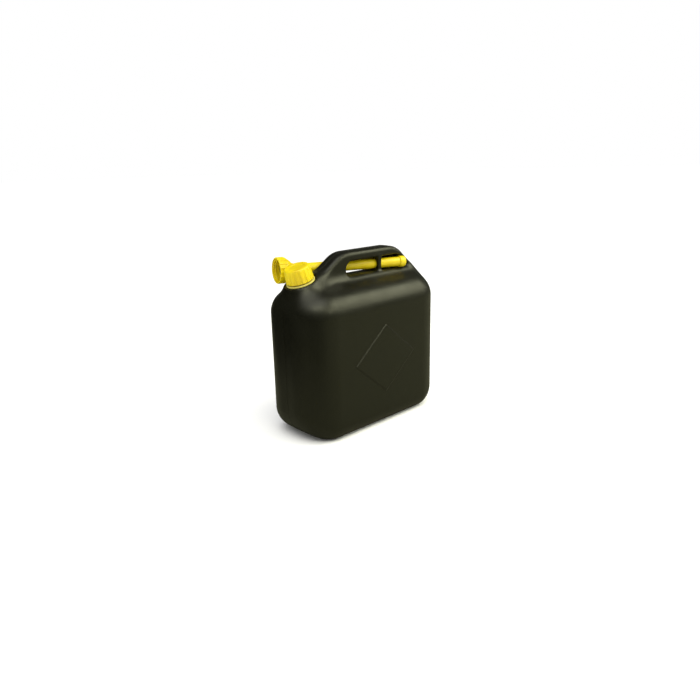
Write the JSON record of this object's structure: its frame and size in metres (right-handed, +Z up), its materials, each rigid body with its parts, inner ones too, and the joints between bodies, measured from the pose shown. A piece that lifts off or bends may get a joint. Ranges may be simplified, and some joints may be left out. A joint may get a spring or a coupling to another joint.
{
  "type": "jerry can",
  "caption": "Black blow-moulded fuel can with a hollow top handle, a tilted screw neck and cap, and a yellow pouring spout stored through the handle.",
  "frame": {"origin": "middle of the base, on the surface the can stands on", "axes": "+X along the can's length, away from the neck; +Z up; the neck is at the -X end"},
  "size_m": [0.338, 0.1562, 0.322],
  "materials": {
    "can_black": "satin, fine moulded grain",
    "cap_yellow": "satin",
    "spout_yellow": "satin, slightly translucent",
    "ring_yellow": "satin, paler",
    "seal_rubber": "matt"
  },
  "bodies": {
    "can": {"can_body": "can_black", "can_top": "can_black"},
    "ring": {"tamper_ring": "ring_yellow"},
    "seal": {"cap_seal": "seal_rubber"},
    "cap": {"screw_cap": "cap_yellow"},
    "spout": {"spout_tube": "spout_yellow", "spout_gasket": "seal_rubber"},
    "collar": {"spout_collar": "cap_yellow"},
    "tip": {"tip_cap": "spout_yellow"}
  },
  "joints": [
    {"name": "ring_turn", "type": "hinge", "parent": "can", "child": "ring", "pos_m": [-0.1265, 0, 0.2795], "axis": [-0.2924, 0, 0.9563], "continuous": true},
    {"name": "cap_rise", "type": "slide", "parent": "can", "child": "seal", "axis": [-0.2924, 0, 0.9563], "range_m": [0, 0.0113]},
    {"name": "cap_turn", "type": "hinge", "parent": "seal", "child": "cap", "pos_m": [-0.1265, 0, 0.2795], "axis": [-0.2924, 0, 0.9563], "range_deg": [0, 900]},
    {"name": "spout_pull", "type": "slide", "parent": "can", "child": "spout", "axis": [-0.9624, 0.2705, 0.0262], "range_m": [0, 0.27]},
    {"name": "collar_turn", "type": "hinge", "parent": "spout", "child": "collar", "pos_m": [0.05, -0.0019, 0.2911], "axis": [0.9624, -0.2705, -0.0262], "continuous": true},
    {"name": "tip_turn", "type": "hinge", "parent": "spout", "child": "tip", "pos_m": [0.05, -0.0019, 0.2911], "axis": [0.9624, -0.2705, -0.0262], "continuous": true}
  ],
  "couplings": [
    {"joint": "cap_rise", "follows": "cap_turn", "m_per_rad": 0.0007162}
  ]
}
